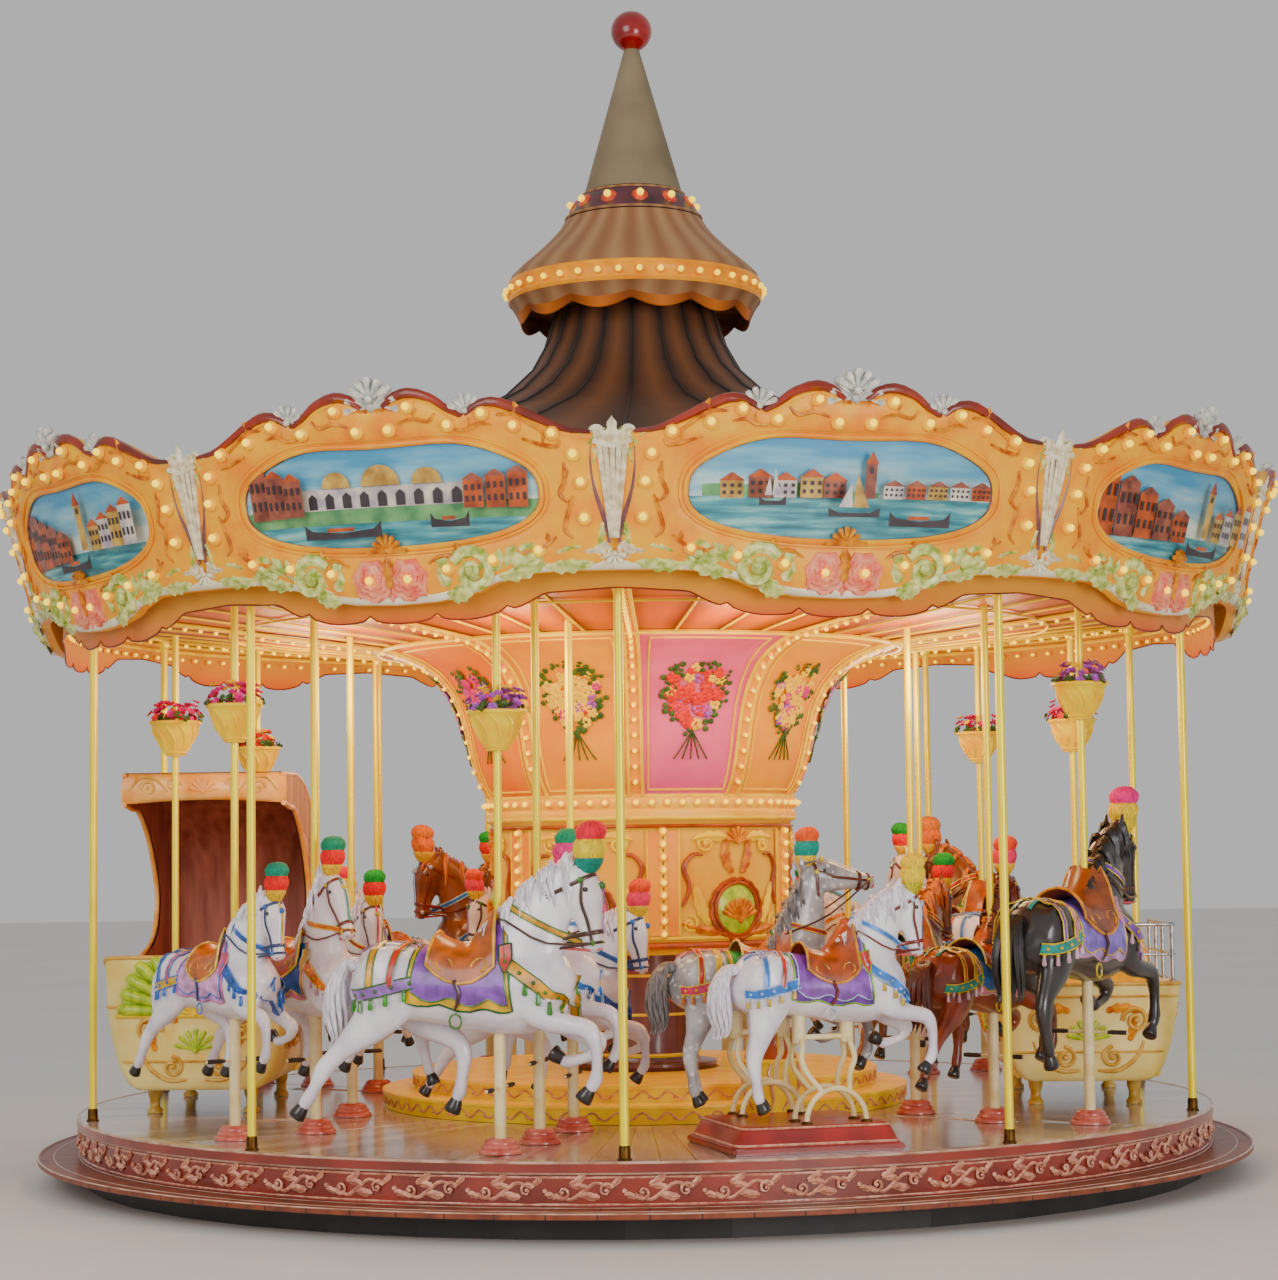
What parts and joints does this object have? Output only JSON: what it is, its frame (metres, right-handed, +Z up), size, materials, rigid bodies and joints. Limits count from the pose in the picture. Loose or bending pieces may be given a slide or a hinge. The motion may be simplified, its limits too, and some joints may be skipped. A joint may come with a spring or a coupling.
{
  "type": "fairground carousel",
  "caption": "Round fairground carousel with galloping horses three abreast, two boats and a standing pair under a lit canopy with painted rounding boards, cupola and spire.",
  "frame": {"origin": "centre of the plinth's underside, on the ground", "axes": "+Z up along the centre mast; -Y is the side seen in the picture, with a rim post on it"},
  "size_m": [7.2828, 7.1332, 6.731],
  "materials": {
    "dark_frame": "dark matt paint",
    "deck_wood": "varnished radial boards",
    "step_wood": "varnished, with a pale metal edge",
    "red_skirt": "gloss paint with gilt scrolls in relief",
    "brass": "polished tube",
    "valance_cloth": "woven cloth with a scalloped edge",
    "orange_paint": "satin paint",
    "board_paint": "satin paint on carved relief",
    "cream_paint": "satin paint with gold scrolls",
    "roof_skin": "dark taut sheet",
    "spire_paint": "satin taupe paint",
    "red_paint": "gloss paint",
    "hood_wood": "varnished boards",
    "steel": "brushed tube",
    "white_paint": "gloss paint with coloured trappings",
    "grey_paint": "gloss paint with coloured trappings",
    "brown_paint": "gloss paint with coloured trappings",
    "black_paint": "gloss paint with coloured trappings"
  },
  "bodies": {
    "base": {"base_plinth": "dark_frame", "center_bearing": "dark_frame"},
    "turntable": {"deck": "deck_wood", "deck_skirt": "red_skirt", "running_board": "step_wood", "rim_posts": "brass", "rounding_board_1": "board_paint", "rounding_board_2": "board_paint", "rounding_board_3": "board_paint", "rounding_board_4": "board_paint", "rounding_board_5": "board_paint", "rounding_board_6": "board_paint", "rounding_board_7": "board_paint", "rounding_board_8": "board_paint", "rounding_board_9": "board_paint", "rounding_board_10": "board_paint", "valance": "valance_cloth", "ceiling": "orange_paint", "trumpet": "orange_paint", "center_drum": "board_paint", "center_column": "hood_wood", "center_mast": "dark_frame", "drum_steps": "cream_paint", "carved_tub": "cream_paint", "canopy_roof": "roof_skin", "cupola_bell": "board_paint", "lantern_band": "red_paint", "spire": "spire_paint", "finial_ball": "red_paint", "stand_horse_outer": "white_paint", "stand_horse_middle": "grey_paint", "stand_base": "red_paint", "railed_boat": "cream_paint", "railed_boat_pole": "brass", "boat_rail": "steel", "hooded_boat": "cream_paint", "hooded_boat_pole": "brass", "boat_hood": "hood_wood"},
    "outer_horse_1": {"outer_horse_1": "black_paint"},
    "middle_horse_1": {"middle_horse_1": "brown_paint"},
    "inner_horse_1": {"inner_horse_1": "brown_paint"},
    "outer_horse_2": {"outer_horse_2": "brown_paint"},
    "middle_horse_2": {"middle_horse_2": "white_paint"},
    "inner_horse_2": {"inner_horse_2": "white_paint"},
    "outer_horse_3": {"outer_horse_3": "white_paint"},
    "middle_horse_3": {"middle_horse_3": "white_paint"},
    "inner_horse_3": {"inner_horse_3": "black_paint"},
    "outer_horse_4": {"outer_horse_4": "brown_paint"},
    "middle_horse_4": {"middle_horse_4": "brown_paint"},
    "inner_horse_4": {"inner_horse_4": "white_paint"},
    "outer_horse_5": {"outer_horse_5": "white_paint"},
    "middle_horse_5": {"middle_horse_5": "brown_paint"},
    "inner_horse_5": {"inner_horse_5": "white_paint"},
    "outer_horse_6": {"outer_horse_6": "white_paint"},
    "middle_horse_6": {"middle_horse_6": "white_paint"},
    "inner_horse_6": {"inner_horse_6": "white_paint"},
    "outer_horse_7": {"outer_horse_7": "white_paint"},
    "middle_horse_7": {"middle_horse_7": "white_paint"},
    "inner_horse_7": {"inner_horse_7": "white_paint"}
  },
  "joints": [
    {"name": "turntable_spin", "type": "hinge", "parent": "base", "child": "turntable", "pos_m": [0, 0, 0.3], "axis": [0, 0, 1], "continuous": true},
    {"name": "outer_horse_1_rise", "type": "slide", "parent": "turntable", "child": "outer_horse_1", "axis": [0, 0, 1], "range_m": [-0.19, 0.01]},
    {"name": "middle_horse_1_rise", "type": "slide", "parent": "turntable", "child": "middle_horse_1", "axis": [0, 0, 1], "range_m": [-0.06, 0.14]},
    {"name": "inner_horse_1_rise", "type": "slide", "parent": "turntable", "child": "inner_horse_1", "axis": [0, 0, 1], "range_m": [-0.12, 0.08]},
    {"name": "outer_horse_2_rise", "type": "slide", "parent": "turntable", "child": "outer_horse_2", "axis": [0, 0, 1], "range_m": [-0.08, 0.12]},
    {"name": "middle_horse_2_rise", "type": "slide", "parent": "turntable", "child": "middle_horse_2", "axis": [0, 0, 1], "range_m": [-0.16, 0.04]},
    {"name": "inner_horse_2_rise", "type": "slide", "parent": "turntable", "child": "inner_horse_2", "axis": [0, 0, 1], "range_m": [-0.04, 0.16]},
    {"name": "outer_horse_3_rise", "type": "slide", "parent": "turntable", "child": "outer_horse_3", "axis": [0, 0, 1], "range_m": [-0.17, 0.03]},
    {"name": "middle_horse_3_rise", "type": "slide", "parent": "turntable", "child": "middle_horse_3", "axis": [0, 0, 1], "range_m": [-0.04, 0.16]},
    {"name": "inner_horse_3_rise", "type": "slide", "parent": "turntable", "child": "inner_horse_3", "axis": [0, 0, 1], "range_m": [-0.13, 0.07]},
    {"name": "outer_horse_4_rise", "type": "slide", "parent": "turntable", "child": "outer_horse_4", "axis": [0, 0, 1], "range_m": [-0.07, 0.13]},
    {"name": "middle_horse_4_rise", "type": "slide", "parent": "turntable", "child": "middle_horse_4", "axis": [0, 0, 1], "range_m": [-0.14, 0.06]},
    {"name": "inner_horse_4_rise", "type": "slide", "parent": "turntable", "child": "inner_horse_4", "axis": [0, 0, 1], "range_m": [-0.05, 0.15]},
    {"name": "outer_horse_5_rise", "type": "slide", "parent": "turntable", "child": "outer_horse_5", "axis": [0, 0, 1], "range_m": [-0.03, 0.17]},
    {"name": "middle_horse_5_rise", "type": "slide", "parent": "turntable", "child": "middle_horse_5", "axis": [0, 0, 1], "range_m": [-0.15, 0.05]},
    {"name": "inner_horse_5_rise", "type": "slide", "parent": "turntable", "child": "inner_horse_5", "axis": [0, 0, 1], "range_m": [-0.08, 0.12]},
    {"name": "outer_horse_6_rise", "type": "slide", "parent": "turntable", "child": "outer_horse_6", "axis": [0, 0, 1], "range_m": [-0.118, 0.082]},
    {"name": "middle_horse_6_rise", "type": "slide", "parent": "turntable", "child": "middle_horse_6", "axis": [0, 0, 1], "range_m": [-0.1, 0.1]},
    {"name": "inner_horse_6_rise", "type": "slide", "parent": "turntable", "child": "inner_horse_6", "axis": [0, 0, 1], "range_m": [-0.07, 0.13]},
    {"name": "outer_horse_7_rise", "type": "slide", "parent": "turntable", "child": "outer_horse_7", "axis": [0, 0, 1], "range_m": [-0.03, 0.17]},
    {"name": "middle_horse_7_rise", "type": "slide", "parent": "turntable", "child": "middle_horse_7", "axis": [0, 0, 1], "range_m": [-0.12, 0.08]},
    {"name": "inner_horse_7_rise", "type": "slide", "parent": "turntable", "child": "inner_horse_7", "axis": [0, 0, 1], "range_m": [-0.01, 0.19]}
  ]
}
